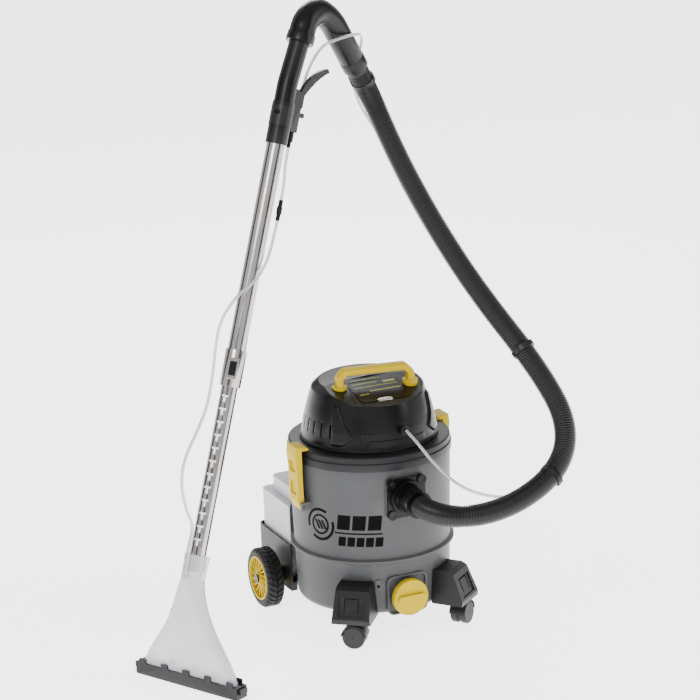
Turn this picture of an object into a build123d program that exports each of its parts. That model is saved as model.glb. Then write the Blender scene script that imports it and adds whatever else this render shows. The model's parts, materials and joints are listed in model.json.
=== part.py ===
from build123d import *
import math
import os

# Carpet cleaner: wet canister with injection and extraction, wand, hose and water bottle.
# Units are millimetres. Z is up and z = 0 is the floor. The tank axis is x = y = 0.
# The front of the machine faces -Y; +X is the right-hand side seen from behind the front.

# ---- clearances -------------------------------------------------------------------
RUN = 0.05            # running clearance, on the radius
GAP = 0.35            # gap between faces of neighbours that must not touch
WALL = 4.0            # moulded wall

# ---- tank -------------------------------------------------------------------------
TANK_R = 160.0
TANK_BASE_R = 152.0
TANK_Z0 = 50.0
TANK_Z1 = 349.0
BEAD_R = 163.5
BEAD_Z = 162.0
BEAD_H = 7.0

# ---- head -------------------------------------------------------------------------
RIM_R = 163.0
RIM_STEP_R = 160.5
RIM_Z1 = 377.0
DOME_R0 = 137.5
DOME_R1 = 129.0
DOME_R2 = 123.0
DOME_R3 = 111.0
DOME_Z1 = 418.0
DOME_Z2 = 442.0
DOME_Z3 = 480.0
DOME_TOP = 492.0
DOME_WALL = 3.0
CAVITY_TOP = 461.0
PANEL_TILT = 14.0
PANEL_Z = 494.0
HANDLE_HALF = 72.0
HANDLE_Y = -36.0
HANDLE_TURN = -9.0
HANDLE_BAR = 14.0
HANDLE_TOP = 526.0

# ---- fittings on the tank -----------------------------------------------------------
INLET_Z = 293.0
INLET_PLATE = 80.0
INLET_BORE_R = 18.0
DRAIN_Z = 87.0
DRAIN_R = 38.0
LATCH_SHIFT = 22.0
LATCH_W = 44.0
LATCH_THICK = 12.5
LATCH_PIVOT_X = 166.5
LATCH_PIVOT_Z = 266.0
PIN_R = 2.5

# ---- running gear -------------------------------------------------------------------
CASTER_RADIUS = 190.0
CASTER_ANGLE = 39.0
CASTER_WHEEL_R = 22.5
WHEEL_R = 61.0
WHEEL_W = 36.0
WHEEL_X = 160.0
AXLE_Y = 136.0
AXLE_R = 6.0
RIM_OUT_R = 45.0

# ---- tray and bottle ----------------------------------------------------------------
TRAY_HALF = 146.0
TRAY_REAR = 250.0
TRAY_TOP = 140.0
TRAY_Z0 = 42.0
TRAY_FLOOR = 60.0
BOTTLE_HALF = 138.0
BOTTLE_REAR = 243.0
BOTTLE_TOP = 216.0
NECK_TOP = 286.0
RISER_Y = 172.0
RISER_R = 4.0

# ---- wand ---------------------------------------------------------------------------
NOZZLE_X = -465.9
NOZZLE_Y = -170.0
WAND_YAW = 27.8
WAND_LEAN = 21.1
WAND_OFFSET = 59.0
STRIP_LEN = 251.0
STRIP_D = 26.0
STRIP_H = 24.0
INNER_R = 16.0
OUTER_R = 17.5
TUBE_WALL = 1.2
NECK_L = 268.0
COLLAR_L = 591.0
GRIP_L = 1057.0
GRIP_R = 19.5
GRIP_BEND_L = 1172.0
GRIP_BEND_R = 150.0
GRIP_TOP = (0, 13, 1262)
ELBOW_R = 25.0
HOSE_R = 21.5
WATER_R = 3.0

os.makedirs("parts", exist_ok=True)

# =====================================================================================
# Tank
# =====================================================================================
bead_lo = BEAD_Z - BEAD_H / 2
bead_hi = BEAD_Z + BEAD_H / 2
with BuildPart() as tank:
    with BuildSketch(Plane.XZ):
        with BuildLine():
            Polyline(
                (0, TANK_Z0),
                (TANK_BASE_R, TANK_Z0),
                (TANK_BASE_R + 3.4, bead_lo - 2),
                (BEAD_R, bead_lo + 2),
                (BEAD_R, bead_hi - 1),
                (TANK_BASE_R + 4, bead_hi + 2),
                (TANK_R, TANK_Z1),
                (TANK_R - WALL, TANK_Z1),
                (TANK_BASE_R - WALL, TANK_Z0 + WALL),
                (0, TANK_Z0 + WALL),
                close=True,
            )
        make_face()
    revolve(axis=Axis.Z)
    fillet(tank.edges().group_by(Axis.Z)[0], 14)
    # saddle pad behind the hose inlet
    with BuildSketch(Plane((0, -TANK_R - 2, INLET_Z), x_dir=(1, 0, 0), z_dir=(0, 1, 0))):
        RectangleRounded(INLET_PLATE + 4, INLET_PLATE + 4, 12)
    extrude(amount=12)
    with BuildSketch(Plane((0, -TANK_R - 3, INLET_Z), x_dir=(1, 0, 0), z_dir=(0, 1, 0))):
        Circle(INLET_BORE_R)
    extrude(amount=30, mode=Mode.SUBTRACT)
    # frame round the drain and its threaded spout
    with BuildSketch(Plane((0, -TANK_BASE_R - 6, DRAIN_Z + 3), x_dir=(1, 0, 0), z_dir=(0, 1, 0))):
        RectangleRounded(2 * DRAIN_R + 10, 2 * DRAIN_R + 4, 14)
    extrude(amount=20)
    with BuildSketch(Plane((0, -TANK_BASE_R - 7, DRAIN_Z + 3), x_dir=(1, 0, 0), z_dir=(0, 1, 0))):
        RectangleRounded(2 * DRAIN_R + 3, 2 * DRAIN_R - 2, 11)
    extrude(amount=6, mode=Mode.SUBTRACT)
    with BuildSketch(Plane((0, -TANK_BASE_R - 14, DRAIN_Z), x_dir=(1, 0, 0), z_dir=(0, 1, 0))):
        Circle(24)
    extrude(amount=18)
    with BuildSketch(Plane((0, -TANK_BASE_R - 15, DRAIN_Z), x_dir=(1, 0, 0), z_dir=(0, 1, 0))):
        Circle(18)
    extrude(amount=34, mode=Mode.SUBTRACT)
    # ears that carry the two latches
    for sx in (-1, 1):
        for sy in (-1, 1):
            with Locations((sx * 160.25, sx * LATCH_SHIFT + sy * (LATCH_W / 2 + GAP + 2.5), LATCH_PIVOT_Z)):
                Box(23.5, 5, 16)
            with Locations(
                Location(
                    (sx * LATCH_PIVOT_X, sx * LATCH_SHIFT + sy * (LATCH_W / 2 + GAP + 2.5), LATCH_PIVOT_Z),
                    (90, 0, 0),
                )
            ):
                Cylinder(PIN_R, 8, mode=Mode.SUBTRACT)
    with Locations((0, 0, LATCH_PIVOT_Z)):
        Cylinder(TANK_R - WALL - 2, 30, mode=Mode.SUBTRACT)
tank.part.label = "tank"
export_step(tank.part, "parts/tank.step")

# =====================================================================================
# Head: base ring, cover, handle, label, switches
# =====================================================================================
with BuildPart() as head_base:
    with BuildSketch(Plane.XZ):
        with BuildLine():
            Polyline(
                (52, TANK_Z1),
                (RIM_R, TANK_Z1),
                (RIM_R, TANK_Z1 + 14),
                (RIM_STEP_R, TANK_Z1 + 16),
                (RIM_STEP_R, RIM_Z1 - 2),
                (RIM_STEP_R - 3, RIM_Z1),
                (DOME_R0 - 8, RIM_Z1),
                (DOME_R0 - 8, RIM_Z1 - 6),
                (150, TANK_Z1 + 12),
                (150, TANK_Z1 + WALL),
                (52, TANK_Z1 + WALL),
                close=True,
            )
        make_face()
    revolve(axis=Axis.Z)
    # rear lug that receives the feed riser
    with Locations((0, 170, TANK_Z1 + 7)):
        Box(16, 20, 14)
    with Locations((0, RISER_Y, TANK_Z1 + 5)):
        Cylinder(RISER_R - 1.2, 10, mode=Mode.SUBTRACT)
head_base.part.label = "head_base"
export_step(head_base.part, "parts/head_base.step")

with BuildPart() as head_gasket:
    with BuildSketch(Plane.XY.offset(TANK_Z1 - 4)):
        Circle(TANK_R - WALL - 0.5)
        Circle(TANK_R - WALL - 4.5, mode=Mode.SUBTRACT)
    extrude(amount=4)
head_gasket.part.label = "head_gasket"
export_step(head_gasket.part, "parts/head_gasket.step")

with BuildPart() as head_cover:
    with BuildSketch(Plane.XZ):
        with BuildLine():
            Polyline(
                (0, RIM_Z1),
                (DOME_R0, RIM_Z1),
                (DOME_R0, RIM_Z1 + 5),
                (DOME_R0 - 3, RIM_Z1 + 8),
                (DOME_R1, DOME_Z1),
                (DOME_R2, DOME_Z2),
                (DOME_R3, DOME_Z3),
                (DOME_R3 - 14, DOME_TOP),
                (0, DOME_TOP + 4),
                close=True,
            )
        make_face()
    revolve(axis=Axis.Z)
    fillet(head_cover.edges().filter_by(GeomType.CIRCLE).filter_by_position(Axis.Z, 479, 493), 9)
    with BuildSketch(Plane.XZ):
        with BuildLine():
            Polyline(
                (0, RIM_Z1 - 1),
                (DOME_R0 - DOME_WALL - 3, RIM_Z1 - 1),
                (DOME_R1 - DOME_WALL, DOME_Z1),
                (DOME_R2 - DOME_WALL, DOME_Z2),
                (DOME_R3 - 1, CAVITY_TOP - 5),
                (DOME_R3 - 6, CAVITY_TOP),
                (0, CAVITY_TOP),
                close=True,
            )
        make_face()
    revolve(axis=Axis.Z, mode=Mode.SUBTRACT)
    # cooling slots in both flanks
    for sx in (-1, 1):
        with PolarLocations(0, 7, start_angle=-30 if sx > 0 else 150, angular_range=60, endpoint=True):
            with Locations((DOME_R1, 0, 416)):
                Box(24, 4, 26, mode=Mode.SUBTRACT)
    # sloping panel under the handle
    with Locations(Location((0, 0, PANEL_Z), (PANEL_TILT, 0, 0)) * Location((0, -100, 30))):
        Box(300, 200, 60, mode=Mode.SUBTRACT)
    # hole for the water outlet
    with Locations(Location((14, -DOME_R1, 419), (90, 0, 0))):
        Cylinder(5, 30, mode=Mode.SUBTRACT)
    # holes for the two rocker switches
    for sx in (-1, 1):
        with Locations((sx * 22, 46, DOME_TOP)):
            Box(22, 30, 40, mode=Mode.SUBTRACT)
head_cover.part.label = "head_cover"
export_step(head_cover.part, "parts/head_cover.step")

tilt = math.radians(PANEL_TILT)
panel = Plane(origin=(0, 0, PANEL_Z), x_dir=(1, 0, 0), z_dir=(0, -math.sin(tilt), math.cos(tilt)))
with BuildPart() as head_label:
    with BuildSketch(panel):
        with Locations((0, -58)):
            RectangleRounded(108, 76, 14)
    extrude(amount=1.2)
head_label.part.label = "head_label"
export_step(head_label.part, "parts/head_label.step")

turn = math.radians(HANDLE_TURN)
handle_dir = (math.cos(turn), math.sin(turn), 0)
handle_frame = Plane(origin=(0, HANDLE_Y, 0), x_dir=handle_dir, z_dir=(0, 0, 1))
bar_z = HANDLE_TOP - HANDLE_BAR / 2
with BuildPart() as carry_handle:
    with BuildLine() as handle_line:
        FilletPolyline(
            handle_frame.from_local_coords((-HANDLE_HALF, 0, CAVITY_TOP + 10)),
            handle_frame.from_local_coords((-HANDLE_HALF, 0, bar_z - 12)),
            handle_frame.from_local_coords((-HANDLE_HALF + 12, 0, bar_z)),
            handle_frame.from_local_coords((HANDLE_HALF - 12, 0, bar_z)),
            handle_frame.from_local_coords((HANDLE_HALF, 0, bar_z - 12)),
            handle_frame.from_local_coords((HANDLE_HALF, 0, CAVITY_TOP + 10)),
            radius=10,
        )
    with BuildSketch(Plane(handle_line.line @ 0, x_dir=handle_frame.y_dir, z_dir=handle_line.line % 0)):
        RectangleRounded(26, HANDLE_BAR, 5)
    sweep()
    # feet that follow the cover
    for sx in (-1, 1):
        with Locations(Location(handle_frame) * Location((sx * HANDLE_HALF, 0, 484))):
            Cylinder(15, 14, mode=Mode.ADD)
    add(head_cover.part, mode=Mode.SUBTRACT)
    with Locations((0, 0, CAVITY_TOP - 10)):
        Box(300, 300, 44, mode=Mode.SUBTRACT)
carry_handle.part.label = "carry_handle"
export_step(carry_handle.part, "parts/carry_handle.step")

switch_nodes = ("switch_suction", "switch_pump")
for name, sx in zip(switch_nodes, (-1, 1)):
    with BuildPart() as rocker:
        with Locations((sx * 22, 46, 484)):
            Box(15, 22, 10)
        with Locations(Location((sx * 22, 46, 489), (0, 90, 0))):
            Cylinder(9, 15)
        with Locations(Location((sx * 22, 46, 489), (0, 90, 0))):
            Cylinder(1.5 + RUN, 15, mode=Mode.SUBTRACT)
        with Locations((sx * 22, 46, 474)):
            Box(16, 30, 10.2, mode=Mode.SUBTRACT)
    rocker.part.label = name
    export_step(rocker.part, "parts/" + name + ".step")

with BuildPart() as switch_bezels:
    for sx in (-1, 1):
        with Locations((sx * 22, 46, 484)):
            Box(22, 30, 24)
        with Locations((sx * 22, 46, 487)):
            Box(16, 26, 30, mode=Mode.SUBTRACT)
        with Locations(Location((sx * 22, 46, 489), (0, 90, 0))):
            Cylinder(1.5, 16.2)
switch_bezels.part.label = "switch_bezels"
export_step(switch_bezels.part, "parts/switch_bezels.step")

# water outlet on the front of the cover
OUTLET_END = 146.0
with BuildPart() as water_outlet:
    with Locations(Location((14, -(DOME_R1 - 8) , 419), (90, 0, 0))):
        Cylinder(5, 24)
    with Locations(Location((14, -(OUTLET_END + 132) / 2, 419), (90, 0, 0))):
        Cylinder(9, OUTLET_END - 132 - 7)
    with Locations(Location((14, -(OUTLET_END + 132) / 2, 419), (90, 0, 0))):
        Cylinder(WATER_R + 1, OUTLET_END - 132)
    with Locations(Location((14, -130, 419), (90, 0, 0))):
        Cylinder(1.8, 60, mode=Mode.SUBTRACT)
water_outlet.part.label = "water_outlet"
export_step(water_outlet.part, "parts/water_outlet.step")

# cable gland at the back of the cover, without a cable
with BuildPart() as cable_gland:
    with Locations(Location((60, 119, 405), (-90, 0, 0))):
        Cylinder(9, 30)
    with Locations(Location((60, 121, 405), (-90, 0, 0))):
        Cylinder(4, 40, mode=Mode.SUBTRACT)
    add(head_cover.part, mode=Mode.SUBTRACT)
    with BuildSketch(Plane.XY.offset(RIM_Z1)):
        Circle(DOME_R1 + 0.2)
    extrude(amount=60, mode=Mode.SUBTRACT)
cable_gland.part.label = "cable_gland"
export_step(cable_gland.part, "parts/cable_gland.step")

# =====================================================================================
# Suction motor, impeller, pump, filter and float inside the head
# =====================================================================================
FAN_R = 70.0
FAN_Z0 = TANK_Z1 + WALL
FAN_Z1 = 394.0
with BuildPart() as fan_housing:
    with Locations((0, 0, (FAN_Z0 + FAN_Z1) / 2)):
        Cylinder(FAN_R, FAN_Z1 - FAN_Z0)
        Cylinder(FAN_R - 3, FAN_Z1 - FAN_Z0 - 6, mode=Mode.SUBTRACT)
    with Locations((0, 0, FAN_Z0 + 2)):
        Cylinder(26, 10, mode=Mode.SUBTRACT)
    with Locations((0, 0, FAN_Z1)):
        Cylinder(7, 20, mode=Mode.SUBTRACT)
    with Locations((FAN_R, 0, (FAN_Z0 + FAN_Z1) / 2)):
        Box(20, 30, 20, mode=Mode.SUBTRACT)
fan_housing.part.label = "fan_housing"
export_step(fan_housing.part, "parts/fan_housing.step")

MOTOR_R = 44.0
MOTOR_Z1 = 448.0
with BuildPart() as motor:
    with Locations((0, 0, (FAN_Z1 + MOTOR_Z1) / 2)):
        Cylinder(MOTOR_R, MOTOR_Z1 - FAN_Z1)
    fillet(motor.edges().group_by(Axis.Z)[-1], 8)
    with Locations((0, 0, FAN_Z1 + 15)):
        Cylinder(5 + RUN, 34, mode=Mode.SUBTRACT)
    with Locations((0, 0, MOTOR_Z1 + 3)):
        Cylinder(16, 8)
motor.part.label = "motor"
export_step(motor.part, "parts/motor.step")

with BuildPart() as impeller:
    with Locations((0, 0, 367)):
        Cylinder(60, 2)
    with Locations((0, 0, 381)):
        Cylinder(60, 2)
        Cylinder(24, 2, mode=Mode.SUBTRACT)
    with Locations((0, 0, 374)):
        Cylinder(14, 16)
    with PolarLocations(38, 9):
        with Locations(Location((0, 0, 374), (0, 0, 28))):
            Box(38, 1.6, 14)
    with Locations((0, 0, 394)):
        Cylinder(5, 58)
impeller.part.label = "impeller"
export_step(impeller.part, "parts/impeller.step")

with BuildPart() as pump:
    with Locations((-92, 0, 396)):
        Box(24, 44, 34)
    with Locations(Location((-92, 32, 396), (90, 0, 0))):
        Cylinder(9, 20)
    with Locations(Location((-92, -32, 396), (90, 0, 0))):
        Cylinder(7, 20)
    with Locations((-92, 0, (TANK_Z1 + WALL + 379) / 2)):
        Box(18, 30, 379 - TANK_Z1 - WALL)
pump.part.label = "pump"
export_step(pump.part, "parts/pump.step")

CAGE_R = 48.0
CAGE_Z0 = 255.0
with BuildPart() as float_cage:
    with Locations((0, 0, (CAGE_Z0 + TANK_Z1) / 2)):
        Cylinder(CAGE_R, TANK_Z1 - CAGE_Z0)
        Cylinder(CAGE_R - 3, TANK_Z1 - CAGE_Z0 - 6, mode=Mode.SUBTRACT)
    with Locations((0, 0, TANK_Z1 - 2)):
        Cylinder(34, 8, mode=Mode.SUBTRACT)
    with PolarLocations(CAGE_R, 10):
        with Locations((0, 0, 282)):
            Box(16, 14, 40, mode=Mode.SUBTRACT)
    with Locations((0, 0, TANK_Z1 - 2)):
        Cylinder(60, 4)
        Cylinder(34, 4, mode=Mode.SUBTRACT)
float_cage.part.label = "float_cage"
export_step(float_cage.part, "parts/float_cage.step")

with BuildPart() as float_ball:
    with Locations((0, 0, CAGE_Z0 + 3 + GAP + 22)):
        Cylinder(CAGE_R - 3 - GAP * 3, 44)
        fillet(float_ball.edges(), 10)
float_ball.part.label = "float_ball"
export_step(float_ball.part, "parts/float_ball.step")

FILTER_R = 66.0
with BuildPart() as filter_sleeve:
    with Locations((0, 0, 308)):
        Cylinder(FILTER_R, 74)
        Cylinder(CAGE_R, 74, mode=Mode.SUBTRACT)
filter_sleeve.part.label = "filter_sleeve"
export_step(filter_sleeve.part, "parts/filter_sleeve.step")

# =====================================================================================
# Hose inlet, drain cap, latches
# =====================================================================================
PLATE_Y = -TANK_R - 2
with BuildPart() as inlet_flange:
    with BuildSketch(Plane((0, PLATE_Y, INLET_Z), x_dir=(1, 0, 0), z_dir=(0, -1, 0))):
        RectangleRounded(INLET_PLATE, INLET_PLATE, 10)
    extrude(amount=6)
    with BuildSketch(Plane((0, PLATE_Y, INLET_Z), x_dir=(1, 0, 0), z_dir=(0, -1, 0))):
        with GridLocations(INLET_PLATE - 16, INLET_PLATE - 16, 2, 2):
            Circle(9.5)
    extrude(amount=10)
    with BuildSketch(Plane((0, PLATE_Y, INLET_Z), x_dir=(1, 0, 0), z_dir=(0, -1, 0))):
        Circle(35)
    extrude(amount=14)
    with BuildSketch(Plane((0, PLATE_Y, INLET_Z), x_dir=(1, 0, 0), z_dir=(0, -1, 0))):
        Circle(29)
    extrude(amount=26)
    with BuildSketch(Plane((0, PLATE_Y + 1, INLET_Z), x_dir=(1, 0, 0), z_dir=(0, -1, 0))):
        Circle(24)
    extrude(amount=40, mode=Mode.SUBTRACT)
    with BuildSketch(Plane((0, PLATE_Y, INLET_Z), x_dir=(1, 0, 0), z_dir=(0, -1, 0))):
        Circle(25)
        Circle(INLET_BORE_R, mode=Mode.SUBTRACT)
    extrude(amount=4)
    with BuildSketch(Plane((0, PLATE_Y - 10, INLET_Z), x_dir=(1, 0, 0), z_dir=(0, -1, 0))):
        with GridLocations(INLET_PLATE - 16, INLET_PLATE - 16, 2, 2):
            Circle(4.6)
    extrude(amount=-4, mode=Mode.SUBTRACT)
inlet_flange.part.label = "inlet_flange"
export_step(inlet_flange.part, "parts/inlet_flange.step")

with BuildPart() as inlet_screws:
    with BuildSketch(Plane((0, PLATE_Y - 6, INLET_Z), x_dir=(1, 0, 0), z_dir=(0, -1, 0))):
        with GridLocations(INLET_PLATE - 16, INLET_PLATE - 16, 2, 2):
            Circle(4)
    extrude(amount=3)
    with BuildSketch(Plane((0, PLATE_Y - 10, INLET_Z), x_dir=(1, 0, 0), z_dir=(0, -1, 0))):
        with GridLocations(INLET_PLATE - 16, INLET_PLATE - 16, 2, 2):
            Rectangle(5, 1.2)
            Rectangle(1.2, 5)
    extrude(amount=-2.4, mode=Mode.SUBTRACT)
inlet_screws.part.label = "inlet_screws"
export_step(inlet_screws.part, "parts/inlet_screws.step")

CUFF_END = -222.0
with BuildPart() as machine_cuff:
    with BuildSketch(Plane((0, PLATE_Y - 4, INLET_Z), x_dir=(1, 0, 0), z_dir=(0, -1, 0))):
        Circle(24)
    extrude(amount=30)
    with BuildSketch(Plane((0, PLATE_Y - 26, INLET_Z), x_dir=(1, 0, 0), z_dir=(0, -1, 0))):
        Circle(27)
    extrude(amount=PLATE_Y - 26 - CUFF_END)
    with BuildSketch(Plane((0, PLATE_Y - 3, INLET_Z), x_dir=(1, 0, 0), z_dir=(0, -1, 0))):
        Circle(INLET_BORE_R)
    extrude(amount=50, mode=Mode.SUBTRACT)
machine_cuff.part.label = "machine_cuff"
export_step(machine_cuff.part, "parts/machine_cuff.step")

DRAIN_FACE = -TANK_BASE_R - 14
with BuildPart() as drain_cap:
    with BuildSketch(Plane((0, DRAIN_FACE + 2, DRAIN_Z), x_dir=(1, 0, 0), z_dir=(0, -1, 0))):
        Circle(DRAIN_R - 1)
    extrude(amount=12)
    fillet(drain_cap.edges().group_by(Axis.Y)[0], 3)
    with BuildSketch(Plane((0, DRAIN_FACE + 2, DRAIN_Z), x_dir=(1, 0, 0), z_dir=(0, -1, 0))):
        Circle(24 + GAP)
    extrude(amount=2 + GAP, mode=Mode.SUBTRACT)
    with BuildSketch(Plane((0, DRAIN_FACE + 2, DRAIN_Z), x_dir=(1, 0, 0), z_dir=(0, 1, 0))):
        Circle(32)
        Circle(24 + RUN, mode=Mode.SUBTRACT)
    extrude(amount=4)
    with BuildSketch(Plane((0, DRAIN_FACE - 10, DRAIN_Z), x_dir=(1, 0, 0), z_dir=(0, -1, 0))):
        SlotOverall(58, 14)
    extrude(amount=6)
drain_cap.part.label = "drain_cap"
export_step(drain_cap.part, "parts/drain_cap.step")

latch_in = LATCH_PIVOT_X - 2
latch_nodes = ("latch_left", "latch_right")
for name, sx in zip(latch_nodes, (-1, 1)):
    with BuildPart() as latch:
        with BuildSketch(Plane.XZ.offset(-sx * LATCH_SHIFT - LATCH_W / 2)):
            with BuildLine():
                Polyline(
                    (sx * (LATCH_PIVOT_X - 3), LATCH_PIVOT_Z),
                    (sx * latch_in, 330),
                    (sx * latch_in, RIM_Z1 + GAP),
                    (sx * 150, RIM_Z1 + GAP),
                    (sx * 150, RIM_Z1 + 4),
                    (sx * 153, RIM_Z1 + 7),
                    (sx * 170, RIM_Z1 + 9),
                    (sx * (latch_in + LATCH_THICK), RIM_Z1 + 10),
                    (sx * (latch_in + LATCH_THICK + 2), RIM_Z1 - 6),
                    (sx * (latch_in + LATCH_THICK - 1), 330),
                    (sx * (latch_in + LATCH_THICK - 1), LATCH_PIVOT_Z + 8),
                    (sx * (LATCH_PIVOT_X + 4), LATCH_PIVOT_Z - 8),
                    (sx * (LATCH_PIVOT_X - 2), LATCH_PIVOT_Z - 8),
                    close=True,
                )
            make_face()
        extrude(amount=LATCH_W)
        with Locations(Location((sx * LATCH_PIVOT_X, sx * LATCH_SHIFT, LATCH_PIVOT_Z), (90, 0, 0))):
            Cylinder(6, LATCH_W)
            Cylinder(PIN_R + RUN, LATCH_W + 2, mode=Mode.SUBTRACT)
        # finger recesses in the outer face
        for recess_z, recess_h in ((344, 22), (300, 26)):
            with Locations((sx * (latch_in + LATCH_THICK), sx * LATCH_SHIFT, recess_z)):
                Box(8, LATCH_W - 18, recess_h, mode=Mode.SUBTRACT)
    latch.part.label = name
    export_step(latch.part, "parts/" + name + ".step")

with BuildPart() as latch_pins:
    for sx in (-1, 1):
        with Locations(Location((sx * LATCH_PIVOT_X, sx * LATCH_SHIFT, LATCH_PIVOT_Z), (90, 0, 0))):
            Cylinder(PIN_R, LATCH_W + 2 * GAP + 10)
latch_pins.part.label = "latch_pins"
export_step(latch_pins.part, "parts/latch_pins.step")

# =====================================================================================
# Front casters
# =====================================================================================
HOUSING_Z0 = 53.0
HOUSING_Z1 = 122.0
HOUSING_W = 78.0
HOUSING_SHIFT = 6.0
HOUSING_OUT = 214.0
HOUSING_SLANT = 21.6
CEILING_Z = 60.0
STEM_R = 5.0
TRAIL = 8.0
HOOD_R = 25.5
caster_sides = ("left", "right")
for side, sx in zip(caster_sides, (-1, 1)):
    turn = -90 + sx * CASTER_ANGLE
    seat = Location((0, 0, 0), (0, 0, turn))
    # in this frame x runs outward from the tank axis and y runs along the tank wall
    with BuildPart() as housing:
        with Locations(seat):
            with BuildSketch(Plane(seat) * Plane.XZ.offset(HOUSING_SHIFT * sx - HOUSING_W / 2)):
                with BuildLine():
                    Polyline(
                        (140, HOUSING_Z0 + 20),
                        (150, HOUSING_Z0),
                        (HOUSING_OUT, HOUSING_Z0),
                        (HOUSING_OUT + 1, HOUSING_Z0 + 10),
                        (HOUSING_OUT - 20, HOUSING_Z1 - 6),
                        (HOUSING_OUT - 31, HOUSING_Z1),
                        (140, HOUSING_Z1),
                        close=True,
                    )
                make_face()
            extrude(amount=HOUSING_W)
        with Locations((0, 0, 80)):
            Cylinder(TANK_BASE_R + 2.6, 120, mode=Mode.SUBTRACT)
        with Locations(seat * Location((CASTER_RADIUS, 0, (HOUSING_Z0 + CEILING_Z) / 2 - 1))):
            Cylinder(15, CEILING_Z - HOUSING_Z0 + 2, mode=Mode.SUBTRACT)
        with Locations(seat * Location((CASTER_RADIUS, 0, 76))):
            Cylinder(STEM_R + RUN, 40, mode=Mode.SUBTRACT)
        mid_y = -sx * HOUSING_SHIFT
        # sides that lean in toward the top
        for sy in (-1, 1):
            lean_in = Location((190, mid_y + sy * HOUSING_W / 2, HOUSING_Z0), (sy * 5, 0, 0))
            with Locations(seat * lean_in * Location((0, sy * 10, 60))):
                Box(160, 20, 160, mode=Mode.SUBTRACT)
        # shallow field inside a raised border, and the slots round the tongue
        front = Location((HOUSING_OUT - 9, mid_y, 86), (0, -HOUSING_SLANT, 0))
        with Locations(seat * front):
            Box(3, HOUSING_W - 26, 40, mode=Mode.SUBTRACT)
        for sy in (-1, 1):
            with Locations(seat * front * Location((0, sy * 14, 4))):
                Box(9, 3, 28, mode=Mode.SUBTRACT)
        with Locations(seat * front * Location((0, 0, 16.5))):
            Box(9, 31, 3, mode=Mode.SUBTRACT)
    housing.part.label = "caster_housing_" + side
    export_step(housing.part, "parts/caster_housing_" + side + ".step")

    with BuildPart() as fork:
        with Locations(seat * Location((CASTER_RADIUS, 0, 71))):
            Cylinder(STEM_R, 48)
        with Locations(seat * Location((CASTER_RADIUS, 0, 52))):
            Cylinder(10, 10)
        with Locations(seat * Location((CASTER_RADIUS, TRAIL, CASTER_WHEEL_R), (0, 90, 0))):
            Cylinder(HOOD_R, 34)
            Cylinder(HOOD_R - 2, 36, mode=Mode.SUBTRACT)
        with Locations(seat * Location((CASTER_RADIUS, TRAIL, CASTER_WHEEL_R - 24))):
            Box(60, 80, 52, mode=Mode.SUBTRACT)
        with Locations(seat * Location((CASTER_RADIUS, TRAIL, CASTER_WHEEL_R), (0, 90, 0))):
            Cylinder(8, 5)
            Cylinder(3, 34)
        with Locations(seat * Location((CASTER_RADIUS, TRAIL / 2, 36))):
            Box(5, 22, 24)
    fork.part.label = "caster_fork_" + side
    export_step(fork.part, "parts/caster_fork_" + side + ".step")

    with BuildPart() as caster_wheels:
        for sy in (-1, 1):
            with Locations(seat * Location((CASTER_RADIUS + sy * 10, TRAIL, CASTER_WHEEL_R), (0, 90, 0))):
                Cylinder(CASTER_WHEEL_R, 13)
        chamfer(caster_wheels.edges().filter_by(GeomType.CIRCLE), 1.5)
        with Locations(seat * Location((CASTER_RADIUS, TRAIL, CASTER_WHEEL_R), (0, 90, 0))):
            Cylinder(3 + RUN, 60, mode=Mode.SUBTRACT)
    caster_wheels.part.label = "caster_wheels_" + side
    export_step(caster_wheels.part, "parts/caster_wheels_" + side + ".step")

# =====================================================================================
# Rear wheels on stub axles
# =====================================================================================
wheel_sides = ("left", "right")
for side, sx in zip(wheel_sides, (-1, 1)):
    mid_x = sx * (WHEEL_X + WHEEL_W / 2)
    with BuildPart() as tyre:
        with Locations(Location((mid_x, AXLE_Y, WHEEL_R), (0, 90, 0))):
            Cylinder(WHEEL_R, WHEEL_W)
            fillet(tyre.edges().filter_by(GeomType.CIRCLE), 5)
            Cylinder(RIM_OUT_R, WHEEL_W + 2, mode=Mode.SUBTRACT)
        for k in (-1, 0, 1):
            with Locations(Location((mid_x + k * 9, AXLE_Y, WHEEL_R), (0, 90, 0))):
                Cylinder(WHEEL_R + 1, 2.2, mode=Mode.SUBTRACT)
                Cylinder(WHEEL_R - 2, 2.4)
                Cylinder(RIM_OUT_R, WHEEL_W + 2, mode=Mode.SUBTRACT)
    tyre.part.label = "tyre_" + side
    export_step(tyre.part, "parts/tyre_" + side + ".step")

    with BuildPart() as wheel_rim:
        with Locations(Location((mid_x, AXLE_Y, WHEEL_R), (0, 90, 0))):
            Cylinder(RIM_OUT_R, WHEEL_W)
            Cylinder(RIM_OUT_R - 4, WHEEL_W + 2, mode=Mode.SUBTRACT)
            Cylinder(RIM_OUT_R - 2, 5)
            Cylinder(12, WHEEL_W)
        with Locations(Location((mid_x + sx * 8, AXLE_Y, WHEEL_R), (0, 90, 0))):
            with PolarLocations(26.5, 16):
                with Locations(Location((0, 0, 0), (0, 0, 18))):
                    Box(33, 2.6, 14)
        with Locations(Location((mid_x, AXLE_Y, WHEEL_R), (0, 90, 0))):
            Cylinder(AXLE_R + RUN, WHEEL_W + 2, mode=Mode.SUBTRACT)
    wheel_rim.part.label = "wheel_rim_" + side
    export_step(wheel_rim.part, "parts/wheel_rim_" + side + ".step")

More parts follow.
